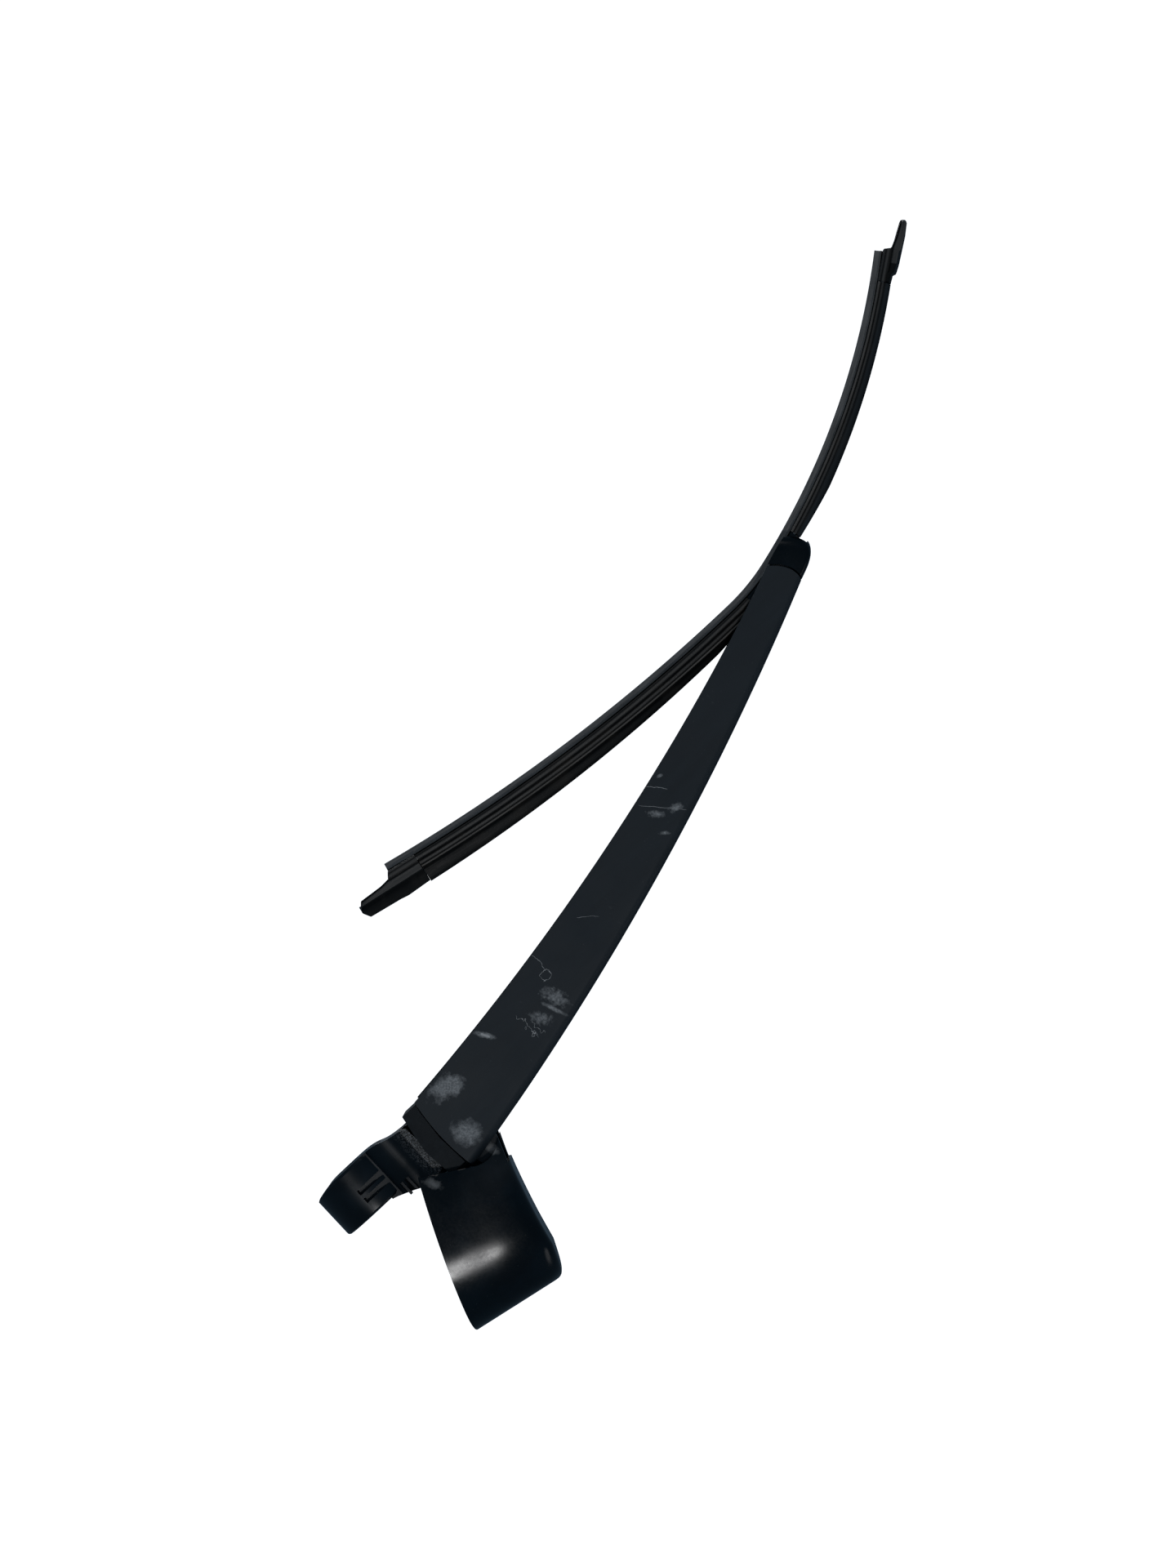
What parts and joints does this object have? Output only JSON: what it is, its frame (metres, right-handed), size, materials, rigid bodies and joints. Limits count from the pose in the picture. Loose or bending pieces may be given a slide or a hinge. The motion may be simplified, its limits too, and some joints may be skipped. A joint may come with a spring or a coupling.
{
  "type": "wiper arm",
  "caption": "Rear wiper arm: sprung knuckle on a spindle head, channel arm, flip-up nut cap and a curved beam blade, lying on its side with the cap open.",
  "frame": {"origin": "on the spindle axis, level with the lower rim of the head's hub", "axes": "X runs from the head to the arm's tip, Z points away from the glass along the spindle axis, Y runs across the arm; the arm is drawn with its cap open"},
  "size_m": [0.3788, 0.0348, 0.1864],
  "materials": {
    "head_metal": "gloss black over die casting",
    "bush_plastic": "dull moulded plastic",
    "pin_steel": "turned steel",
    "arm_plastic": "fine matte, scuffed",
    "collar_plastic": "dull, slightly weathered",
    "gloss_black": "polished moulding",
    "spring_steel": "oiled spring steel",
    "blade_rubber": "chalky rubber",
    "spoiler_rubber": "dusty rubber"
  },
  "bodies": {
    "head_body": {"head": "head_metal", "hinge_bush_left": "bush_plastic", "hinge_bush_right": "bush_plastic", "link_pin": "pin_steel"},
    "arm_body": {"arm_shell": "arm_plastic", "hinge_pin": "pin_steel", "hinge_collar": "collar_plastic", "spring_pin": "pin_steel", "tip_cap": "gloss_black", "blade_adapter": "bush_plastic"},
    "spring_body": {"spring_link": "spring_steel", "tension_spring": "spring_steel"},
    "cap_body": {"cap": "gloss_black"},
    "blade_body": {"blade_carrier": "gloss_black", "blade_pin": "pin_steel", "rail_left": "spring_steel", "rail_right": "spring_steel", "wiper_rubber": "blade_rubber", "spoiler_outer": "spoiler_rubber", "spoiler_inner": "spoiler_rubber", "end_cap_outer": "collar_plastic", "end_cap_inner": "collar_plastic"}
  },
  "joints": [
    {"name": "arm_lift", "type": "hinge", "parent": "head_body", "child": "arm_body", "pos_m": [0.039, 0, 0.018], "axis": [0, -1, 0], "range_deg": [0, 50], "deforming": ["tension_spring"]},
    {"name": "spring_swing", "type": "hinge", "parent": "head_body", "child": "spring_body", "pos_m": [0.034, 0, 0.005], "axis": [0, -1, 0], "range_deg": [0, 46]},
    {"name": "cap_flip", "type": "hinge", "parent": "head_body", "child": "cap_body", "pos_m": [0.039, 0, 0.018], "axis": [0, 1, 0], "range_deg": [-66.4, 0]},
    {"name": "blade_tilt", "type": "hinge", "parent": "arm_body", "child": "blade_body", "pos_m": [0.24977, 0, -0.04764], "axis": [0, -1, 0], "range_deg": [-8, 8]}
  ],
  "couplings": [
    {"joint": "spring_swing", "follows": "arm_lift", "ratio": 0.909}
  ]
}
